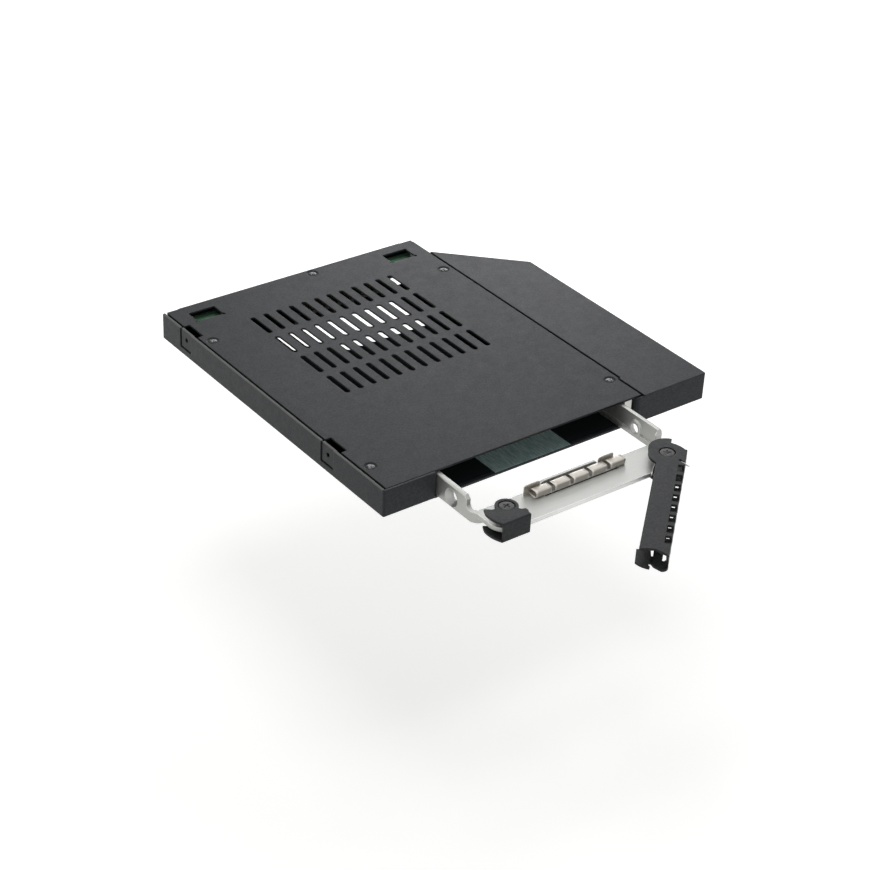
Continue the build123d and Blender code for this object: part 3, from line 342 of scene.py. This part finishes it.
# Painted highlight: the plate's front fold is painted nearly white as a bright line.
platesFoldHighlight = {"low": (31.0, -30.2, 3.0), "high": (93.0, -29.6, 4.7), "colour": (0.78, 0.78, 0.77)}
trayAluminium = dict(traySheet, patches=[slotShadeInPlate, platesFoldHighlight])
nickelSheet = dict(traySheet, dark=(0.44, 0.41, 0.37), light=(0.55, 0.52, 0.48),
                   edge=(0.80, 0.77, 0.72), stain=(0.26, 0.22, 0.16), stainAmount=0.30,
                   streakScale=(200.0, 2600.0, 2600.0), roughness=(0.30, 0.42), metallic=0.65,
                   edgeRadius=0.00010)
steelSheet = dict(traySheet, dark=(0.46, 0.45, 0.43), light=(0.58, 0.57, 0.54),
                  edge=(0.75, 0.74, 0.72), stain=(0.34, 0.31, 0.26), metallic=0.95,
                  roughness=(0.30, 0.42), edgeRadius=0.00018)
darkSteel = dict(traySheet, dark=(0.030, 0.030, 0.032), light=(0.050, 0.050, 0.052),
                 edge=(0.14, 0.14, 0.14), stain=(0.02, 0.02, 0.02), metallic=0.6,
                 roughness=(0.30, 0.40), edgeRadius=0.00012)
springSteel = dict(steelSheet, dark=(0.34, 0.34, 0.33), light=(0.46, 0.46, 0.45),
                   edgeRadius=0.00004)
# The cover screws' rims carry a strong painted highlight in the bright edge colour.
coverScrewSteel = dict(darkSteel, dark=(0.022, 0.023, 0.024), light=(0.036, 0.037, 0.039),
                       edge=(0.70, 0.70, 0.70), metallic=0.85, roughness=(0.16, 0.24),
                       burnishAndHighlight=0.95, edgeRadius=0.00014)
goldFlash = dict(traySheet, dark=(0.62, 0.43, 0.16), light=(0.80, 0.58, 0.24),
                 edge=(0.90, 0.70, 0.36), stain=(0.40, 0.26, 0.10), metallic=1.0,
                 roughness=(0.22, 0.32), edgeRadius=0.00005)
# A paler green stripe across the board, seen through the cover's windows.
paleBoardStripe = {"low": (4.0, 123.25, 5.0), "high": (98.0, 123.70, 7.5), "colour": (0.34, 0.62, 0.40)}
boardLacquer = {
    "mask": (0.105, 0.250, 0.155), "pour": (0.150, 0.330, 0.205), "run": (0.32, 0.50, 0.36),
    "runScale": 620.0, "runShows": 0.55, "pourScale": 90.0, "roughness": 0.30,
    "patches": [paleBoardStripe],
}
connectorPlastic = {
    "dark": (0.010, 0.010, 0.011), "light": (0.017, 0.017, 0.018), "roughness": (0.42, 0.55),
    "grain": 0.25, "grainScale": 3200.0, "cloudScale": 300.0, "edgeRadius": 0.00015,
}

finishes = {
    "chassisPaint": paintedSteel("chassisPaint", chassisPaint),
    "coverPaint": paintedSteel("coverPaint", coverPaint),
    "basePaint": paintedSteel("basePaint", basePaint),
    "leverPaint": paintedSteel("leverPaint", leverPaint),
    "trayAluminium": sheetMetal("trayAluminium", trayAluminium),
    "nickelSheet": sheetMetal("nickelSheet", nickelSheet),
    "steelSheet": sheetMetal("steelSheet", steelSheet),
    "darkSteel": sheetMetal("darkSteel", darkSteel),
    "springSteel": sheetMetal("springSteel", springSteel),
    "coverScrewSteel": sheetMetal("coverScrewSteel", coverScrewSteel),
    "goldFlash": sheetMetal("goldFlash", goldFlash),
    "boardLacquer": solderMask("boardLacquer", boardLacquer),
    "connectorPlastic": mouldedPlastic("connectorPlastic", connectorPlastic),
}
nodeFinish = {
    "base_shell": "basePaint", "top_cover": "coverPaint", "wing_shell": "chassisPaint",
    "cover_posts": "steelSheet", "cover_screws": "steelSheet", "guide_rail_left": "steelSheet",
    "guide_rail_right": "steelSheet", "catch_bracket": "steelSheet", "rivets": "steelSheet",
    "backplane_board": "boardLacquer", "board_spacers": "steelSheet", "board_screws": "steelSheet",
    "drive_receptacle": "connectorPlastic", "receptacle_contacts": "goldFlash",
    "rear_connector": "connectorPlastic", "rear_contacts": "goldFlash",
    "tray_frame": "trayAluminium", "finger_strip": "nickelSheet", "tray_clip": "leverPaint",
    "clip_screw": "darkSteel", "pivot_screw": "darkSteel", "lever_arm": "leverPaint",
    "torsion_spring": "steelSheet", "latch_pawl": "leverPaint", "pawl_pin": "darkSteel",
}
for nodeName, finish in nodeFinish.items():
    for materialSlot in nodes[nodeName].material_slots:
        materialSlot.material = finishes[finish]
print("finishes given")

# Surfaces

# Closed rings of points, an array (rings, around, 3), skinned with quads and closed by a fan to a
# single point at each end.
def skin(rings, startPole, endPole):
    count, around = rings.shape[:2]
    points = np.concatenate((rings.reshape(-1, 3), [startPole, endPole]))
    ring, step = np.meshgrid(np.arange(count - 1), np.arange(around), indexing="ij")
    after = (step + 1) % around
    quads = np.stack((ring * around + step, ring * around + after,
                      (ring + 1) * around + after, (ring + 1) * around + step), -1).reshape(-1, 4)
    step = np.arange(around)
    after = (step + 1) % around
    last = (count - 1) * around
    startFan = np.stack((np.full(around, count * around), after, step), -1)
    endFan = np.stack((np.full(around, count * around + 1), last + step, last + after), -1)
    return points, quads.tolist() + startFan.tolist() + endFan.tolist()


# An open sheet of points, an array (rows, columns, 3). Faces where keep is false are left out.
def openSheet(grid, keep=None):
    rows, columns = grid.shape[:2]
    row, column = np.meshgrid(np.arange(rows - 1), np.arange(columns - 1), indexing="ij")
    corner = row * columns + column
    quads = np.stack((corner, corner + 1, corner + columns + 1, corner + columns), -1)
    kept = quads.reshape(-1, 4) if keep is None else quads[keep]
    return grid.reshape(-1, 3), kept.tolist()


# Several surfaces as one: each one's faces count on from the points before it.
def joined(surfaces):
    starts = np.cumsum([0] + [len(points) for points, _ in surfaces])
    faces = [[int(start) + corner for corner in face]
             for start, (_, part) in zip(starts, surfaces) for face in part]
    return np.concatenate([points for points, _ in surfaces]), faces


# A mesh in the scene, smooth, with its finish, riding on its body in the place of a CAD node.
def addPiece(name, surface, piece):
    points, faces = surface
    mesh = bpy.data.meshes.new(name)
    mesh.from_pydata(points.tolist(), [], faces)
    mesh.polygons.foreach_set("use_smooth", [True] * len(mesh.polygons))
    mesh.materials.append(finishes[piece["finish"]])
    made = bpy.data.objects.new(name, mesh)
    bpy.context.collection.objects.link(made)
    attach(made, piece["body"])
    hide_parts(piece["replaces"])
    return made


# Screws

coverScrew = {
    "places": [(4.65, 13.5), (98.55, 13.5), (4.65, 102.8), (98.55, 102.8), (58.10, 124.5)],
    "radius": 1.50, "seat": 9.00, "top": 9.48, "rim": 0.20, "crown": 0.26,
    "reach": 0.80, "slotWidth": 0.36, "slotDepth": 0.40, "turn": 0.5,
    "body": "chassis", "slot": "bare_steel", "finish": "coverScrewSteel",
    "replaces": "cover_screws",
}
clipScrew = {
    "places": [(27.5, 7.1 - traySlide)],
    "radius": 2.33, "seat": 7.15, "top": 7.80, "rim": 0.14, "crown": 0.06,
    "reach": 1.35, "slotWidth": 0.60, "slotDepth": 0.55, "turn": 0.35,
    "body": "tray", "slot": "dark_steel", "finish": "darkSteel", "replaces": "clip_screw",
}
pivotScrew = dict(clipScrew, places=[(87.1, 3.3 - traySlide)], seat=7.08, turn=0.85,
                  replaces="pivot_screw")
headMesh = {"around": 96, "rim": 6, "crown": 26, "fade": 0.1, "innermost": 0.02, "seatShare": 0.5}


# One slot of the cross, as a share of its depth: (w / 2 + f / 2 - |side|) / f times
# (reach + f / 2 - |run|) / f, each held between 0 and 1, times 1 - |run| / (2 reach).
def slotShare(screw, run, side):
    fade = headMesh["fade"]
    nearSide = np.clip((screw["slotWidth"] / 2 + fade / 2 - np.abs(side)) / fade, 0, 1)
    nearEnd = np.clip((screw["reach"] + fade / 2 - np.abs(run)) / fade, 0, 1)
    return nearSide * nearEnd * (1 - 0.5 * np.abs(run) / screw["reach"])


# A screw head, turned about its axis. In r and z it runs out along the seat, up the side, round the
# rim, r = R - e + e cos a and z = t + e sin a, and in over the crown, z = top - crown (r / R)^2.
# The cross is pressed in by the larger of its two slots' shares times the slot's depth.
def screwHead(place, screw):
    outer = screw["radius"]
    rim = screw["rim"]
    crownEdge = screw["top"] - screw["crown"] * ((outer - rim) / outer) ** 2
    turn = np.linspace(0, np.pi / 2, headMesh["rim"])
    inward = np.linspace(outer - rim, headMesh["innermost"], headMesh["crown"])[1:]
    seat = [headMesh["seatShare"] * outer, outer]
    radii = np.concatenate((seat, outer - rim + rim * np.cos(turn), inward))
    heights = np.concatenate((
        [screw["seat"], screw["seat"]], crownEdge - rim + rim * np.sin(turn),
        screw["top"] - screw["crown"] * (inward / outer) ** 2))
    angle = np.linspace(0, 2 * np.pi, headMesh["around"], endpoint=False)
    x = radii[:, None] * np.cos(angle)
    y = radii[:, None] * np.sin(angle)
    along = x * np.cos(screw["turn"]) + y * np.sin(screw["turn"])
    across = y * np.cos(screw["turn"]) - x * np.sin(screw["turn"])
    share = np.maximum(slotShare(screw, along, across), slotShare(screw, across, along))
    cross = share * screw["slotDepth"]
    cross[: len(seat) + headMesh["rim"]] = 0
    z = heights[:, None] - cross
    rings = fromBay(np.stack((x + place[0], y + place[1], z), -1))
    start = fromBay((place[0], place[1], screw["seat"]))
    end = fromBay((place[0], place[1], screw["top"] - screw["slotDepth"]))
    return skin(rings, start, end)


screws = {"coverScrewHeads": coverScrew, "clipScrewHead": clipScrew, "pivotScrewHead": pivotScrew}
for screwName, screw in screws.items():
    addPiece(screwName, joined([screwHead(place, screw) for place in screw["places"]]), screw)
print("screws made")

# Torsion spring, in the lever's own axes: x from the pivot to the tip, y to the outer face

spring = {
    "coilRadius": 2.97, "wire": 0.27, "pitch": 0.56, "turns": 2, "base": 4.97,
    "innerTip": (9.3, -3.5), "innerBend": 0.34, "rise": (3.7, 4.35), "outerTip": (5.9, 7.3),
    "legHeight": 7.5, "legBends": (0.3, 1.6),
    "leverTurn": np.radians(222.6), "stepsPerTurn": 28, "smoothSteps": 3, "around": 16,
    "body": "lever", "slot": "bare_steel", "finish": "springSteel", "replaces": "torsion_spring",
}


# A quadratic B-spline, ((1 - t)^2 a + (1 + 2t - 2t^2) b + t^2 c) / 2 between three neighbours in
# turn, with the line's two ends kept.
def smoothLine(points, fine):
    t = np.linspace(0, 1, fine, endpoint=False)[None, :, None]
    a, b, c = points[:-2, None], points[1:-1, None], points[2:, None]
    inner = ((1 - t) ** 2 * a + (1 + 2 * t - 2 * t ** 2) * b + t ** 2 * c) / 2
    return np.concatenate((points[:1], inner.reshape(-1, 3), points[-1:]))


# The spring's line: the inner leg touches the coil where it is tangent. The coil is
# R (cos a, sin a) with z = base + pitch (first - a) / (2 pi), while a falls from first to last. The
# outer leg leaves it at a tangent, rises and turns out over the wall.
def springLine():
    tip = np.array(spring["innerTip"])
    rise = np.array(spring["rise"])
    end = np.array(spring["outerTip"])
    coil = spring["coilRadius"]
    first = np.arctan2(tip[1], tip[0]) - np.arccos(coil / np.hypot(*tip))
    rounds = 1 + spring["turns"]
    last = np.arctan2(rise[1], rise[0]) + np.arccos(coil / np.hypot(*rise)) - 2 * np.pi * rounds
    angle = np.linspace(first, last, spring["stepsPerTurn"] * rounds)
    height = spring["base"] + (first - angle) / (2 * np.pi) * spring["pitch"]
    turns = np.stack((coil * np.cos(angle), coil * np.sin(angle), height), -1)
    outward = (end - rise) / np.hypot(*(end - rise))
    top = spring["legHeight"]
    bend = spring["innerBend"]
    inner = tip * (1 - bend) + turns[0, :2] * bend
    legStart = np.array([(*tip, spring["base"]), (*inner, spring["base"])])
    bends = [(*(rise + reach * outward), top) for reach in spring["legBends"]]
    legEnd = np.array([(*rise, height[-1]), *bends, (*end, top)])
    return smoothLine(np.concatenate((legStart, turns, legEnd)), spring["smoothSteps"])


# A round wire on a line: each ring is the line's point plus r (cos a side + sin a up), where side
# is square to the line and level, and up is square to both.
def wireOn(line, radius, around):
    run = np.gradient(line, axis=0)
    run /= np.linalg.norm(run, axis=1, keepdims=True)
    side = np.cross(run, (0.0, 0.0, 1.0))
    side /= np.linalg.norm(side, axis=1, keepdims=True)
    up = np.cross(run, side)
    angle = np.linspace(0, 2 * np.pi, around, endpoint=False)[None, :, None]
    rings = line[:, None] + radius * (np.cos(angle) * side[:, None] + np.sin(angle) * up[:, None])
    return skin(rings, line[0], line[-1])


# The lever's own axes in mm as places in the frame: p turned about z by leverTurn, over 1000, plus
# the pivot's x and y.
def leverToFrame(points):
    pivot = next(joint["pos_m"] for joint in frame["joints"] if joint["name"] == "lever_pivot")
    c, s = np.cos(spring["leverTurn"]), np.sin(spring["leverTurn"])
    turned = points @ np.array([[c, s, 0], [-s, c, 0], [0, 0, 1]]) * mm
    return turned + (pivot[0], pivot[1], 0.0)


wire = wireOn(springLine(), spring["wire"], spring["around"])
addPiece("leverSpring", (leverToFrame(wire[0]), wire[1]), spring)
print("spring made")

# Finger strip on the front plate

fingers = {
    "count": 5, "pitch": 7.25, "width": 5.95, "left": 40.1, "rear": 12.35 - traySlide,
    "plateTop": 4.6, "front": 0.6, "depth": 3.1, "height": 2.3, "sheet": 0.15,
    "squareness": 5.0, "tipAngle": np.radians(20),
    "tabWidth": 6.1, "tabHeight": 3.4, "tabOffset": -2.0, "tabCut": 0.5,
    "rollSteps": 44, "footSteps": 5, "footRolls": 4, "widthSteps": 7, "tabSteps": (17, 9),
    "body": "tray", "slot": "nickel_strip", "finish": "nickelSheet", "replaces": "finger_strip",
}


# The rolled strip in y and z: a flat foot, then y = middle + a |cos|^(2/n) and
# z = centre + b |sin|^(2/n) with their signs, from straight down round the front and over the top
# to the tip. Between two fingers only the foot and the roll's first few steps are kept.
def fingerRolls():
    half = fingers["sheet"] / 2
    a = (fingers["depth"] - fingers["sheet"]) / 2
    b = (fingers["height"] - fingers["sheet"]) / 2
    angle = np.linspace(1.5 * np.pi, fingers["tipAngle"], fingers["rollSteps"])
    power = 2 / fingers["squareness"]
    middle = fingers["rear"] - fingers["front"] - fingers["depth"] / 2
    y = middle + a * np.sign(np.cos(angle)) * np.abs(np.cos(angle)) ** power
    centre = fingers["plateTop"] + half + b
    z = centre + b * np.sign(np.sin(angle)) * np.abs(np.sin(angle)) ** power
    footY = np.linspace(fingers["rear"], y[0], fingers["footSteps"])[:-1]
    y = np.concatenate((footY, y))
    z = np.concatenate((np.full(len(footY), z[0]), z))
    stations = np.linspace(0, fingers["width"], fingers["widthSteps"])
    starts = fingers["left"] + np.arange(fingers["count"])[:, None] * fingers["pitch"]
    x = (starts + stations).ravel()
    grid = np.stack(np.broadcast_arrays(x[None, :], y[:, None], z[:, None]), -1)
    inFinger = (np.arange(len(x) - 1) + 1) % len(stations) != 0
    inFoot = np.arange(len(y) - 1) < len(footY) + fingers["footRolls"]
    return openSheet(fromBay(grid), inFinger[None, :] | inFoot[:, None])


# An upright tab: a flat sheet in x and z whose top falls towards its ends by cut |u|^8, where u
# runs from -1 to 1 along it.
def fingerTab(left):
    u = np.linspace(-1, 1, fingers["tabSteps"][0])
    v = np.linspace(0, 1, fingers["tabSteps"][1])[:, None]
    top = fingers["tabHeight"] - fingers["tabCut"] * np.abs(u) ** 8
    x = left + (u + 1) / 2 * fingers["tabWidth"]
    grid = np.stack(np.broadcast_arrays(
        x[None, :], fingers["rear"] - fingers["sheet"] / 2, fingers["plateTop"] + v * top), -1)
    return openSheet(fromBay(grid))


stripRight = fingers["left"] + fingers["pitch"] * (fingers["count"] - 1) + fingers["width"]
tabLefts = (fingers["left"] + fingers["tabOffset"],
            stripRight - fingers["tabWidth"] + fingers["tabOffset"])
stripSurface = joined([fingerRolls()] + [fingerTab(left) for left in tabLefts])
fingerStrip = addPiece("rolledFingers", stripSurface, fingers)
thickness = fingerStrip.modifiers.new("sheet", "SOLIDIFY")
thickness.thickness = fingers["sheet"] * mm
thickness.offset = 0
print("finger strip made")

# Stage

setCamera()
for lampName, setting in lamps.items():
    addLamp(lampName, setting)


# 1 for the rays that the camera, a gloss or a clear surface sends out, and 0 for the rest.
def whiteForCamera(tree):
    ray = addNode(tree, "ShaderNodeLightPath").outputs
    either = mathOf(tree, "MAXIMUM", ray["Is Camera Ray"], ray["Is Glossy Ray"])
    return mathOf(tree, "MAXIMUM", either, ray["Is Transmission Ray"])


def setSky():
    world = bpy.data.worlds.new("studioSky")
    bpy.context.scene.world = world
    world.use_nodes = True
    tree = world.node_tree
    tree.nodes.clear()
    strength = spread(tree, whiteForCamera(tree), 0.0, 1.0, studio["skyLight"], 1.0)
    sky = addNode(tree, "ShaderNodeBackground", {"Color": (1, 1, 1, 1), "Strength": strength})
    addNode(tree, "ShaderNodeOutputWorld", {"Surface": sky.outputs[0]})


# A flat square at z = floorHeight, pale, with a glow that only the camera and reflections see. The
# glow is weaker under the object, so that its shadow shows.
def addFloor():
    side = studio["floorHalf"]
    corners = np.array([(-side, -side), (side, -side), (side, side), (-side, side)])
    points = np.column_stack((corners, np.full(4, studio["floorHeight"])))
    mesh = bpy.data.meshes.new("floor")
    mesh.from_pydata(points.tolist(), [], [(0, 1, 2, 3)])
    floor = bpy.data.objects.new("floor", mesh)
    bpy.context.collection.objects.link(floor)
    material, tree = newMaterial("paleFloor")
    matt = addNode(tree, "ShaderNodeBsdfDiffuse", {"Color": (*[studio["floorColour"]] * 3, 1)})
    away = addNode(tree, "ShaderNodeVectorMath", {0: objectPlace(tree)}, operation="LENGTH")
    strength = spread(tree, away.outputs["Value"], *studio["glowReach"], *studio["floorGlow"])
    strength = mathOf(tree, "MULTIPLY", whiteForCamera(tree), strength)
    glow = addNode(tree, "ShaderNodeEmission", {"Color": (1, 1, 1, 1), "Strength": strength})
    both = addNode(tree, "ShaderNodeAddShader", {0: matt.outputs[0], 1: glow.outputs[0]})
    finishTree(tree, both.outputs[0])
    mesh.materials.append(material)


setSky()
addFloor()
bpy.context.scene.view_settings.view_transform = "Standard"
print("stage set")
